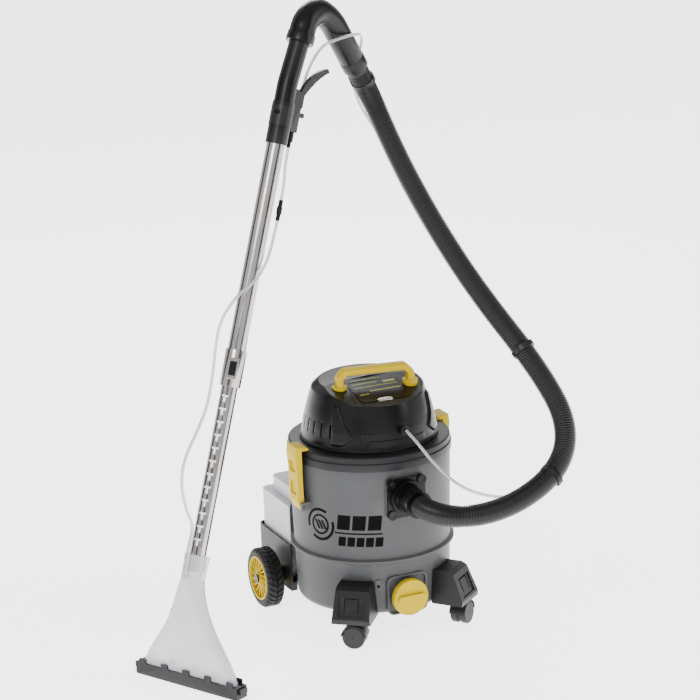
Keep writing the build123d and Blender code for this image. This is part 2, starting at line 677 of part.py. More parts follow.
AXLE_IN = 144.0
AXLE_OUT = WHEEL_X + WHEEL_W + 1
with BuildPart() as stub_axles:
    for sx in (-1, 1):
        with Locations(Location((sx * (AXLE_IN + AXLE_OUT) / 2, AXLE_Y, WHEEL_R), (0, 90, 0))):
            Cylinder(AXLE_R, AXLE_OUT - AXLE_IN)
        with Locations(Location((sx * (AXLE_OUT + 1.5), AXLE_Y, WHEEL_R), (0, 90, 0))):
            Cylinder(9, 3)
stub_axles.part.label = "stub_axles"
export_step(stub_axles.part, "parts/stub_axles.step")

# =====================================================================================
# Rear tray, feed pipe, bottle
# =====================================================================================
TRAY_WALL = 4.0
TRAY_FRONT = 80.0
FLOOR_Z0 = 50.0
tray_mid = (TRAY_FRONT + TRAY_REAR) / 2
tray_len = TRAY_REAR - TRAY_FRONT
with BuildPart() as rear_tray:
    with Locations((0, tray_mid, (TRAY_Z0 + TRAY_TOP) / 2)):
        Box(2 * TRAY_HALF, tray_len, TRAY_TOP - TRAY_Z0)
    fillet(rear_tray.edges().filter_by(Axis.Z).group_by(Axis.Y)[-1], 22)
    with BuildSketch(Plane.XY.offset(TRAY_FLOOR)):
        with Locations((0, tray_mid - 20)):
            RectangleRounded(2 * (TRAY_HALF - TRAY_WALL), tray_len - 2 * TRAY_WALL + 40, 18)
    extrude(amount=100, mode=Mode.SUBTRACT)
    with BuildSketch(Plane.XY.offset(TRAY_Z0)):
        with Locations((0, tray_mid)):
            RectangleRounded(2 * (TRAY_HALF - TRAY_WALL), tray_len - 2 * TRAY_WALL, 18)
    extrude(amount=FLOOR_Z0 - TRAY_Z0, mode=Mode.SUBTRACT)
    with Locations((0, 0, 100)):
        Cylinder(TANK_BASE_R + 3.6, 160, mode=Mode.SUBTRACT)
    with Locations((0, 128, (TRAY_Z0 + FLOOR_Z0) / 2)):
        Box(120, 164, FLOOR_Z0 - TRAY_Z0)
    for sx in (-1, 1):
        with Locations(Location((sx * (TRAY_HALF + 4.5), AXLE_Y, WHEEL_R), (0, 90, 0))):
            Cylinder(15, 17)
        with Locations(Location((sx * (AXLE_IN + AXLE_OUT) / 2, AXLE_Y, WHEEL_R), (0, 90, 0))):
            Cylinder(AXLE_R, AXLE_OUT - AXLE_IN, mode=Mode.SUBTRACT)
rear_tray.part.label = "rear_tray"
export_step(rear_tray.part, "parts/rear_tray.step")

DOCK_Y = 208.0
DOCK_TOP = 86.0
pipe_z = TRAY_FLOOR + RISER_R
with BuildPart() as feed_pipe:
    with BuildLine() as feed_line:
        FilletPolyline(
            (0, RISER_Y, TANK_Z1),
            (0, RISER_Y, pipe_z),
            (0, DOCK_Y, pipe_z),
            (0, DOCK_Y, DOCK_TOP),
            radius=8,
        )
    with BuildSketch(Plane(feed_line.line @ 0, x_dir=(1, 0, 0), z_dir=feed_line.line % 0)):
        Circle(RISER_R)
    sweep()
feed_pipe.part.label = "feed_pipe"
export_step(feed_pipe.part, "parts/feed_pipe.step")

BOTTLE_Z0 = TRAY_FLOOR + GAP
BOTTLE_CLEAR_R = TANK_R + 7
MID_TOP = 246.0
SHELL = 2.5
CAP_Y = 200.0
with BuildPart() as bottle:
    for inset in (0, SHELL):
        shape = Mode.ADD if inset == 0 else Mode.SUBTRACT
        with BuildSketch(Plane.XY.offset(BOTTLE_Z0 + 1.6 * inset)):
            with Locations((0, BOTTLE_REAR - 80)):
                RectangleRounded(2 * (BOTTLE_HALF - inset), 160 - 2 * inset, 18 - inset)
            Circle(BOTTLE_CLEAR_R + inset, mode=Mode.SUBTRACT)
            with Locations((0, BOTTLE_CLEAR_R)):
                Rectangle(18 + 2 * inset, 28 + 2 * inset, mode=Mode.SUBTRACT)
        extrude(amount=BOTTLE_TOP - BOTTLE_Z0 - 2.6 * inset, mode=shape)
        with BuildSketch(Plane.XY.offset(BOTTLE_Z0 + 60)):
            with Locations((0, BOTTLE_REAR - 95)):
                RectangleRounded(2 * (BOTTLE_HALF - 16 - inset), 150 - 2 * inset, 16 - inset)
            Circle(BOTTLE_CLEAR_R + inset, mode=Mode.SUBTRACT)
            with Locations((0, BOTTLE_CLEAR_R)):
                Rectangle(18 + 2 * inset, 28 + 2 * inset, mode=Mode.SUBTRACT)
        extrude(amount=MID_TOP - BOTTLE_Z0 - 60 - inset, mode=shape)
        with BuildSketch(Plane.XY.offset(BOTTLE_Z0 + 90)):
            with Locations((0, BOTTLE_REAR - 105)):
                RectangleRounded(2 * (72 - inset), 156 - 2 * inset, 14 - inset)
            Circle(BOTTLE_CLEAR_R + inset, mode=Mode.SUBTRACT)
            with Locations((0, BOTTLE_CLEAR_R)):
                Rectangle(18 + 2 * inset, 28 + 2 * inset, mode=Mode.SUBTRACT)
        extrude(amount=NECK_TOP - BOTTLE_Z0 - 90 - inset, mode=shape)
    # tunnel and socket that pass the feed pipe
    with Locations((0, DOCK_Y - 9, BOTTLE_Z0 + 12)):
        Box(18, DOCK_Y - RISER_Y, 24)
    with Locations((0, DOCK_Y, BOTTLE_Z0 + 16)):
        Cylinder(11, 32)
    with Locations((0, (RISER_Y + DOCK_Y) / 2 - 10, BOTTLE_Z0 + 3)):
        Box(10, DOCK_Y - RISER_Y + 30, 30, mode=Mode.SUBTRACT)
    with Locations((0, DOCK_Y, BOTTLE_Z0 + 13)):
        Cylinder(RISER_R + GAP + 1.5, 32, mode=Mode.SUBTRACT)
    with Locations((0, CAP_Y, NECK_TOP)):
        Cylinder(10, 10, mode=Mode.SUBTRACT)
bottle.part.label = "bottle"
export_step(bottle.part, "parts/bottle.step")

with BuildPart() as bottle_cap:
    with Locations((0, CAP_Y, NECK_TOP + GAP + 6)):
        Cylinder(15, 12)
        with PolarLocations(15, 16):
            Box(2, 2, 12, mode=Mode.SUBTRACT)
    with Locations((0, CAP_Y, NECK_TOP - 1)):
        Cylinder(10 - RUN, 8)
bottle_cap.part.label = "bottle_cap"
export_step(bottle_cap.part, "parts/bottle_cap.step")

# =====================================================================================
# Wand. Local frame: z along the tube, x along the nozzle strip, y toward the machine.
# =====================================================================================
yaw = math.radians(WAND_YAW)
lean = math.radians(WAND_LEAN)
strip_dir = (math.sin(yaw), -math.cos(yaw), 0)
face_dir = (math.cos(yaw), math.sin(yaw), 0)
tube_dir = (math.sin(lean) * face_dir[0], math.sin(lean) * face_dir[1], math.cos(lean))
foot = (NOZZLE_X - WAND_OFFSET * face_dir[0], NOZZLE_Y - WAND_OFFSET * face_dir[1], 0)
wand = Plane(origin=foot, x_dir=strip_dir, z_dir=tube_dir)
wand_at = Location(wand)
strip = Plane(origin=(NOZZLE_X, NOZZLE_Y, 0), x_dir=strip_dir, z_dir=(0, 0, 1))
strip_at = Location(strip)

BLADE_Z = 12.0
BLADE_W = 232.0
with BuildPart() as nozzle_body:
    for inset in (0, SHELL):
        shape = Mode.ADD if inset == 0 else Mode.SUBTRACT
        stations = (
            (BLADE_Z, 0, BLADE_W, 23),
            (60, 2, 190, 25),
            (110, 5, 122, 29),
            (160, 9, 74, 36),
        )
        for z, shift, width, depth in stations:
            with BuildSketch(strip.offset(z)):
                with Locations((0, shift)):
                    RectangleRounded(width - 2 * inset, depth - 2 * inset, depth / 2 - inset - 0.5)
        with BuildSketch(wand.offset(222)):
            RectangleRounded(46 - 2 * inset, 46 - 2 * inset, 23 - inset - 0.5)
        loft(mode=shape)
    with Locations(wand_at * Location((0, 0, (221 + NECK_L) / 2))):
        Cylinder(23.5, NECK_L - 221)
    with Locations(wand_at * Location((0, 0, NECK_L - 6))):
        Cylinder(24.5, 12)
    with Locations(wand_at * Location((0, 0, (236 + NECK_L) / 2 + 5))):
        Cylinder(INNER_R, NECK_L - 236 + 10, mode=Mode.SUBTRACT)
    with Locations(wand_at * Location((0, 0, 228))):
        Cylinder(14.5, 22, mode=Mode.SUBTRACT)
    with Locations(wand_at * Location((0, -22, 229), (90, 0, 0))):
        Cylinder(2.6, 20, mode=Mode.SUBTRACT)
nozzle_body.part.label = "nozzle_body"
export_step(nozzle_body.part, "parts/nozzle_body.step")

with BuildPart() as nozzle_strip:
    with Locations(strip_at * Location((0, 0, STRIP_H / 2))):
        Box(STRIP_LEN, STRIP_D + 4, STRIP_H)
    with Locations(strip_at):
        with GridLocations(54, STRIP_D + 1.6, 5, 2):
            with Locations((0, 0, STRIP_H + 3)):
                Box(16, 2.4, 12)
        for sx in (-1, 1):
            with Locations((sx * (STRIP_LEN / 2 + 2), 0, 16)):
                Box(8, 20, 10)
    with BuildSketch(strip.offset(BLADE_Z)):
        RectangleRounded(BLADE_W + 2 * RUN, 23 + 2 * RUN, 10.5)
    extrude(amount=40, mode=Mode.SUBTRACT)
    with BuildSketch(strip.offset(-1)):
        RectangleRounded(BLADE_W - 14, 10, 4)
    extrude(amount=40, mode=Mode.SUBTRACT)
    add(nozzle_body.part, mode=Mode.SUBTRACT)
nozzle_strip.part.label = "nozzle_strip"
export_step(nozzle_strip.part, "parts/nozzle_strip.step")

with BuildPart() as spray_pipe:
    with Locations(wand_at * Location((0, -28.9, 262))):
        Cylinder(4.2, 76)
    with Locations(wand_at * Location((0, -20.5, 229), (90, 0, 0))):
        Cylinder(2.6, 17)
spray_pipe.part.label = "spray_pipe"
export_step(spray_pipe.part, "parts/spray_pipe.step")

INNER_TOP = 720.0
with BuildPart() as inner_tube:
    with Locations(wand_at * Location((0, 0, (236 + INNER_TOP) / 2))):
        Cylinder(INNER_R, INNER_TOP - 236)
        Cylinder(INNER_R - TUBE_WALL, INNER_TOP - 236, mode=Mode.SUBTRACT)
    # row of stops for the lock button
    with Locations(wand_at * Location((0, 0, 290), (0, 0, -54))):
        for k in range(12):
            with Locations((INNER_R + 0.8, 0, 25 * k)):
                Box(3, 9, 12, mode=Mode.SUBTRACT)
inner_tube.part.label = "inner_tube"
export_step(inner_tube.part, "parts/inner_tube.step")

OUTER_BOTTOM = 600.0
OUTER_TOP = 1100.0
with BuildPart() as outer_tube:
    with Locations(wand_at * Location((0, 0, (OUTER_BOTTOM + OUTER_TOP) / 2))):
        Cylinder(OUTER_R, OUTER_TOP - OUTER_BOTTOM)
        Cylinder(OUTER_R - TUBE_WALL, OUTER_TOP - OUTER_BOTTOM, mode=Mode.SUBTRACT)
outer_tube.part.label = "outer_tube"
export_step(outer_tube.part, "parts/outer_tube.step")

COLLAR_TOP = 662.0
COLLAR_R = 20.5
button_turn = (0, 0, -54)
with BuildPart() as lock_collar:
    with Locations(wand_at * Location((0, 0, (COLLAR_L + COLLAR_TOP) / 2))):
        Cylinder(COLLAR_R, COLLAR_TOP - COLLAR_L)
    with Locations(wand_at * Location((0, 0, 626), button_turn) * Location((18, 0, 0))):
        Box(12, 18, 40)
    with Locations(wand_at * Location((0, 0, (OUTER_BOTTOM + COLLAR_TOP) / 2))):
        Cylinder(OUTER_R, COLLAR_TOP - OUTER_BOTTOM, mode=Mode.SUBTRACT)
    with Locations(wand_at * Location((0, 0, 595))):
        Cylinder(INNER_R, 20, mode=Mode.SUBTRACT)
    with Locations(wand_at * Location((0, 0, 626), button_turn) * Location((22, 0, 0))):
        Box(12, 12 + 2 * GAP, 26 + 2 * GAP, mode=Mode.SUBTRACT)
lock_collar.part.label = "lock_collar"
export_step(lock_collar.part, "parts/lock_collar.step")

with BuildPart() as lock_button:
    with Locations(wand_at * Location((0, 0, 626), button_turn) * Location((23, 0, 0))):
        Box(6, 12, 26)
lock_button.part.label = "lock_button"
export_step(lock_button.part, "parts/lock_button.step")

RING_L0 = 1092.0
RING_L1 = 1131.0


def bend_radii(points):
    # largest bend at each corner that leaves a straight length between neighbours
    pts = [Vector(p) for p in points]
    radii = []
    for a, b, c in zip(pts, pts[1:], pts[2:]):
        run_in = (b - a).length
        run_on = (c - b).length
        half = math.acos(max(-1, min(1, ((b - a).dot(c - b)) / (run_in * run_on)))) / 2
        radii.append(round(0.45 * min(run_in, run_on) / math.tan(half), 2))
    return radii


grip_top = wand.from_local_coords(GRIP_TOP)
with BuildPart() as grip:
    with BuildLine() as grip_line:
        FilletPolyline(
            wand.from_local_coords((0, 0, GRIP_L)),
            wand.from_local_coords((0, 0, GRIP_BEND_L)),
            grip_top,
            radius=GRIP_BEND_R,
        )
    with BuildSketch(Plane(grip_line.line @ 0, x_dir=strip_dir, z_dir=grip_line.line % 0)):
        Circle(GRIP_R)
        Circle(OUTER_R - TUBE_WALL, mode=Mode.SUBTRACT)
    sweep()
    with Locations(wand_at * Location((0, 0, (GRIP_L + RING_L0) / 2 - GAP / 2))):
        Cylinder(GRIP_R + 1.4, RING_L0 - GRIP_L - GAP)
    with Locations(wand_at * Location((0, 0, RING_L1 + GAP + 3))):
        Cylinder(GRIP_R + 1.4, 6)
    with Locations(wand_at * Location((0, 0, (GRIP_L + RING_L1) / 2))):
        Cylinder(OUTER_R - TUBE_WALL, RING_L1 - GRIP_L + 20, mode=Mode.SUBTRACT)
    with Locations(wand_at * Location((0, 0, (GRIP_L + OUTER_TOP) / 2))):
        Cylinder(OUTER_R, OUTER_TOP - GRIP_L, mode=Mode.SUBTRACT)
    with Locations(wand_at * Location((0, 0, 1116), (0, 0, -54)) * Location((GRIP_R, 0, 0), (0, 90, 0))):
        Cylinder(5, 12, mode=Mode.SUBTRACT)
grip.part.label = "grip"
export_step(grip.part, "parts/grip.step")

with BuildPart() as bleed_ring:
    with Locations(wand_at * Location((0, 0, (RING_L0 + RING_L1) / 2))):
        Cylinder(GRIP_R + 2, RING_L1 - RING_L0)
        Cylinder(GRIP_R + RUN, RING_L1 - RING_L0, mode=Mode.SUBTRACT)
    with Locations(wand_at * Location((0, 0, 1116), (0, 0, -75)) * Location((GRIP_R, 0, 0), (0, 90, 0))):
        Cylinder(5, 12, mode=Mode.SUBTRACT)
bleed_ring.part.label = "bleed_ring"
export_step(bleed_ring.part, "parts/bleed_ring.step")

elbow_end = wand.from_local_coords((0, 178, 1260))
elbow_route = [
    grip_top,
    wand.from_local_coords((0, 17, 1300)),
    wand.from_local_coords((0, 48, 1326)),
    wand.from_local_coords((0, 94, 1316)),
    elbow_end,
]
elbow_radii = bend_radii(elbow_route)
print("elbow bend radii", elbow_radii)
socket = Plane(origin=grip_top, x_dir=strip_dir, z_dir=grip_line.line % 1)
with BuildPart() as elbow:
    with BuildLine() as elbow_line:
        FilletPolyline(*elbow_route, radius=elbow_radii)
    with BuildSketch(Plane(elbow_line.line @ 0, x_dir=strip_dir, z_dir=elbow_line.line % 0)):
        Circle(ELBOW_R)
        Circle(ELBOW_R - 5, mode=Mode.SUBTRACT)
    sweep()
    with BuildSketch(socket.offset(-8)):
        Circle(ELBOW_R + 2)
        Circle(GRIP_R, mode=Mode.SUBTRACT)
    extrude(amount=18)
elbow.part.label = "elbow"
export_step(elbow.part, "parts/elbow.step")

CUFF_LEN = 26.0
run_out = (elbow_line.line % 1).normalized()
cuff_plane = Plane(origin=elbow_end, x_dir=strip_dir, z_dir=run_out)
with BuildPart() as wand_cuff:
    with BuildSketch(cuff_plane):
        Circle(HOSE_R + 4)
        Circle(INNER_R, mode=Mode.SUBTRACT)
    extrude(amount=CUFF_LEN)
wand_cuff.part.label = "wand_cuff"
export_step(wand_cuff.part, "parts/wand_cuff.step")

# trigger valve on the machine side of the grip
FEED_L = 1140.0
DROP_L = 1057.0
LEVER_Y = 44.0
LEVER_Z = 1155.0
with BuildPart() as trigger_valve:
    with Locations(wand_at * Location((0, 33, 1112))):
        Box(15, 27, 50)
    with Locations(wand_at * Location((0, 25, 1148))):
        Box(15, 14, 40)
    for sx in (-1, 1):
        with Locations(wand_at * Location((sx * 6, 40, 1150))):
            Box(3, 20, 30)
    with Locations(wand_at * Location((0, 0, 1130))):
        Cylinder(GRIP_R + 2.4, 120, mode=Mode.SUBTRACT)
    with Locations(wand_at * Location((0, 20, 1153))):
        Box(9, 6, 20)
    with Locations(wand_at * Location((0, 0, 1150))):
        Cylinder(GRIP_R, 90, mode=Mode.SUBTRACT)
    add(grip.part, mode=Mode.SUBTRACT)
    with Locations(wand_at * Location((0, 39, 1078))):
        Cylinder(6, 20)
    with Locations(wand_at * Location((0, 39, 1063))):
        Cylinder(WATER_R + 0.8, 12)
    with Locations(wand_at * Location((-4, 53, 1122))):
        Box(19, 18, 9)
    with Locations(wand_at * Location((-9, 58, (1122 + FEED_L) / 2))):
        Cylinder(WATER_R + 0.8, FEED_L - 1122)
    with Locations(wand_at * Location((0, LEVER_Y, LEVER_Z), (0, 90, 0))):
        Cylinder(2, 20, mode=Mode.SUBTRACT)
trigger_valve.part.label = "trigger_valve"
export_step(trigger_valve.part, "parts/trigger_valve.step")

with BuildPart() as lever_pin:
    with Locations(wand_at * Location((0, LEVER_Y, LEVER_Z), (0, 90, 0))):
        Cylinder(2, 15)
lever_pin.part.label = "lever_pin"
export_step(lever_pin.part, "parts/lever_pin.step")

with BuildPart() as trigger_lever:
    with BuildSketch(Plane(origin=wand.from_local_coords((-4, 0, 0)), x_dir=wand.y_dir, z_dir=wand.x_dir)):
        with BuildLine():
            Spline((40, 1159), (56, 1188), (82, 1211), (112, 1224))
            Spline((117, 1217), (94, 1202), (66, 1174), (49, 1152))
            Line((112, 1224), (117, 1217))
            Line((49, 1152), (40, 1159))
        make_face()
    extrude(amount=8)
    with Locations(wand_at * Location((0, LEVER_Y, LEVER_Z), (0, 90, 0))):
        Cylinder(5, 8)
        Cylinder(2 + RUN, 12, mode=Mode.SUBTRACT)
trigger_lever.part.label = "trigger_lever"
export_step(trigger_lever.part, "parts/trigger_lever.step")

# =====================================================================================
# Hose and clear water tubes
# =====================================================================================
hose_start = elbow_end + run_out * CUFF_LEN
hose_lead = hose_start + run_out * 75


hose_route = [
    hose_start,
    hose_lead,
    (112, 62, 905),
    (150, -18, 780),
    (196, -108, 660),
    (258, -236, 528),
    (284, -306, 430),
    (240, -340, 352),
    (120, -348, 298),
    (0, -318, INLET_Z),
    (0, CUFF_END, INLET_Z),
]
hose_radii = bend_radii(hose_route)
print("hose bend radii", hose_radii)
with BuildPart() as hose:
    with BuildLine() as hose_line:
        FilletPolyline(*hose_route, radius=hose_radii)
    with BuildSketch(Plane(hose_line.line @ 0, z_dir=hose_line.line % 0)):
        Circle(HOSE_R)
    sweep()
hose.part.label = "hose"
export_step(hose.part, "parts/hose.step")
# pressure tube: from the outlet, along the back of the hose, over its end, to the valve
back = Vector(0.03, 0.92, -0.39)
hose_wire = hose_line.wires()[0]
pressure_route = [
    wand.from_local_coords((-9, 58, FEED_L)),
    wand.from_local_coords((-9, 58, 1166)),
    wand.from_local_coords((-13, 70, 1216)),
    wand.from_local_coords((0, 82, 1264)),
    wand.from_local_coords((22, 95, 1280)),
    wand.from_local_coords((37, 125, 1298)),
    wand.from_local_coords((18, 178, 1307)),
    wand.from_local_coords((-8, 214, 1281)),
    wand.from_local_coords((-29, 229, 1236)),
    (64, 142, 1010),
    (97, 109, 944),
    (115, 82, 887),
    (131, 48, 834),
    (149, 15, 780),
    (166, -23, 730),
    (186, -60, 679),
    (206, -102, 632),
    (226, -143, 586),
    (247, -188, 541),
    (265, -227, 493),
    (278, -266, 441),
    (266, -295, 385),
    (232, -314, 340),
    (190, -298, 306),
    (146, -272, 296),
    (90, -232, 312),
    (50, -194, 356),
    (14, -182, 412),
    (14, -OUTLET_END, 419),
]
pressure_radii = bend_radii(pressure_route)
print("pressure tube bend radii", pressure_radii)
with BuildPart() as pressure_tube:
    with BuildLine() as pressure_line:
        FilletPolyline(*pressure_route, radius=pressure_radii)
    with BuildSketch(Plane(pressure_line.line @ 0, z_dir=pressure_line.line % 0)):
        Circle(WATER_R)
    sweep()
pressure_tube.part.label = "pressure_tube"
export_step(pressure_tube.part, "parts/pressure_tube.step")

# spray tube: valve to in-line connector, then down the wand to the nozzle
upper_route = [
    wand.from_local_coords((0, 39, DROP_L)),
    wand.from_local_coords((0, 39, 1028)),
    wand.from_local_coords((0, 48, 985)),
    wand.from_local_coords((0, 48, 957)),
]
upper_radii = bend_radii(upper_route)
print("spray tube upper bend radii", upper_radii)
with BuildPart() as spray_tube_upper:
    with BuildLine() as upper_line:
        FilletPolyline(*upper_route, radius=upper_radii)
    with BuildSketch(Plane(upper_line.line @ 0, z_dir=upper_line.line % 0)):
        Circle(WATER_R)
    sweep()
spray_tube_upper.part.label = "spray_tube_upper"
export_step(spray_tube_upper.part, "parts/spray_tube_upper.step")

with BuildPart() as tube_connector:
    with Locations(wand_at * Location((0, 48, 937))):
        Cylinder(4.2, 40)
        Cylinder(5.4, 14)
tube_connector.part.label = "tube_connector"
export_step(tube_connector.part, "parts/tube_connector.step")

lower_local = [
    (0, 48, 917),
    (2, 44, 878),
    (24, 10, 835),
    (27, -16, 795),
    (12, -44, 762),
    (-4, -58, 714),
    (-14, -48, 668),
    (-18, -34, 610),
    (-14, -37, 545),
    (-6, -66, 490),
    (0, -92, 446),
    (0, -90, 400),
    (0, -60, 350),
    (0, -28.9, 324),
    (0, -28.9, 300),
]
lower_route = [wand.from_local_coords(p) for p in lower_local]
lower_radii = bend_radii(lower_route)
print("spray tube lower bend radii", lower_radii)
with BuildPart() as spray_tube_lower:
    with BuildLine() as lower_line:
        FilletPolyline(*lower_route, radius=lower_radii)
    with BuildSketch(Plane(lower_line.line @ 0, z_dir=lower_line.line % 0)):
        Circle(WATER_R)
    sweep()
spray_tube_lower.part.label = "spray_tube_lower"
export_step(spray_tube_lower.part, "parts/spray_tube_lower.step")

CLIP_PLACES = (0.03, 0.525, 0.745)
tube_wire = pressure_line.wires()[0]
tube_points = [tube_wire.position_at(k / 1600) for k in range(1601)]
with BuildPart() as tube_clips:
    for place in CLIP_PLACES:
        at = hose_wire.position_at(place)
        along_hose = hose_wire.tangent_at(place)
        across = (back - along_hose * back.dot(along_hose)).normalized()
        clip_plane = Plane(origin=at - along_hose * 5, x_dir=across, z_dir=along_hose)
        nearby = [p for p in tube_points if (p - at).length < 60]
        beside = min(nearby, key=lambda p: abs((p - at).dot(along_hose)))
        tube_spot = clip_plane.to_local_coords(beside)
        with BuildSketch(clip_plane):
            Circle(HOSE_R + 3)
            with Locations((tube_spot.X, tube_spot.Y)):
                Circle(WATER_R + 6)
            make_hull()
            Circle(HOSE_R + GAP, mode=Mode.SUBTRACT)
            with Locations((tube_spot.X, tube_spot.Y)):
                Circle(WATER_R + 3.5, mode=Mode.SUBTRACT)
        extrude(amount=10)
tube_clips.part.label = "tube_clips"
export_step(tube_clips.part, "parts/tube_clips.step")

for label, part_obj, line, radius in (
    ("hose", hose, hose_line, HOSE_R),
    ("pressure tube", pressure_tube, pressure_line, WATER_R),
    ("spray tube upper", spray_tube_upper, upper_line, WATER_R),
    ("spray tube lower", spray_tube_lower, lower_line, WATER_R),
):
    length = sum(e.length for e in line.edges())
    ratio = part_obj.part.volume / (math.pi * radius**2 * length)
    print(label, "length", round(length, 1), "volume ratio", round(ratio, 4))
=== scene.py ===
import bpy, bmesh, math, json
from mathutils import Vector, Matrix


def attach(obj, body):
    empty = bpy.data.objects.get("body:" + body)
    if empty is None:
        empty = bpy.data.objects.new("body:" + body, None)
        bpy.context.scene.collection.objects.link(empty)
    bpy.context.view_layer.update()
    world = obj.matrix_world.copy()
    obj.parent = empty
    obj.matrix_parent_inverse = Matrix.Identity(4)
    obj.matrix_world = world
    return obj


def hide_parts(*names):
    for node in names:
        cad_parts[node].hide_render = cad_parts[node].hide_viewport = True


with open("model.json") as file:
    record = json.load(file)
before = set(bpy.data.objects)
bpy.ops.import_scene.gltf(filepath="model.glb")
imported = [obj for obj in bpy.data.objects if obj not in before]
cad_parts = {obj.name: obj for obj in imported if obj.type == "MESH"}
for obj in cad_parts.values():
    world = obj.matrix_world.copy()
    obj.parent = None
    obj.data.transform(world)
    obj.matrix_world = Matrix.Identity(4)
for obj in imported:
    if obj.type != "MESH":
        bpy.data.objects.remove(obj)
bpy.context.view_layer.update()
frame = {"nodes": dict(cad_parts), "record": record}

NODES = frame["nodes"]
D = bpy.data


# ---------------------------------------------------------------- materials
def material(name, base, rough=0.5, metallic=0.0, grain=900.0, grain_bump=0.08, mottle=0.06,
             transmission=0.0, ior=1.45, coat=0.0, speck=0.0, edge=0.10, spec=0.5, alpha=1.0):
    m = D.materials.new(name)
    m.use_nodes = True
    nt = m.node_tree
    N, L = nt.nodes, nt.links
    b = N["Principled BSDF"]
    co = N.new("ShaderNodeTexCoord")
    big = N.new("ShaderNodeTexNoise"); big.inputs["Scale"].default_value = 9.0
    big.inputs["Detail"].default_value = 6.0
    L.new(co.outputs["Object"], big.inputs["Vector"])
    fine = N.new("ShaderNodeTexNoise"); fine.inputs["Scale"].default_value = grain
    fine.inputs["Detail"].default_value = 3.0
    L.new(co.outputs["Object"], fine.inputs["Vector"])
    hsv = N.new("ShaderNodeHueSaturation")
    hsv.inputs["Color"].default_value = (*base, 1)
    rng = N.new("ShaderNodeMapRange")
    rng.inputs["From Min"].default_value = 0.3; rng.inputs["From Max"].default_value = 0.7
    rng.inputs["To Min"].default_value = 1.0 - mottle; rng.inputs["To Max"].default_value = 1.0 + mottle
    L.new(big.outputs["Fac"], rng.inputs["Value"])
    L.new(rng.outputs["Result"], hsv.inputs["Value"])
    geo = N.new("ShaderNodeNewGeometry")
    worn = N.new("ShaderNodeMapRange")
    worn.inputs["From Min"].default_value = 0.52; worn.inputs["From Max"].default_value = 0.62
    worn.inputs["To Min"].default_value = 0.0; worn.inputs["To Max"].default_value = edge
    L.new(geo.outputs["Pointiness"], worn.inputs["Value"])
    mix = N.new("ShaderNodeMix"); mix.data_type = "RGBA"
    mix.inputs["B"].default_value = (min(1, base[0] * 1.6 + 0.10), min(1, base[1] * 1.6 + 0.10),
                                     min(1, base[2] * 1.6 + 0.10), 1)
    L.new(worn.outputs["Result"], mix.inputs["Factor"])
    L.new(hsv.outputs["Color"], mix.inputs["A"])
    L.new(mix.outputs["Result"], b.inputs["Base Color"])
    rr = N.new("ShaderNodeMapRange")
    rr.inputs["From Min"].default_value = 0.3; rr.inputs["From Max"].default_value = 0.7
    rr.inputs["To Min"].default_value = max(0.02, rough - 0.06)
    rr.inputs["To Max"].default_value = min(1, rough + 0.06)
    L.new(big.outputs["Fac"], rr.inputs["Value"])
    L.new(rr.outputs["Result"], b.inputs["Roughness"])
    b.inputs["Metallic"].default_value = metallic
    b.inputs["IOR"].default_value = ior
    b.inputs["Specular IOR Level"].default_value = spec
    b.inputs["Coat Weight"].default_value = coat
    b.inputs["Transmission Weight"].default_value = transmission
    b.inputs["Alpha"].default_value = alpha
    bump = N.new("ShaderNodeBump")
    bump.inputs["Strength"].default_value = grain_bump
    bump.inputs["Distance"].default_value = 0.0006
    L.new(fine.outputs["Fac"], bump.inputs["Height"])
    L.new(bump.outputs["Normal"], b.inputs["Normal"])
    return m


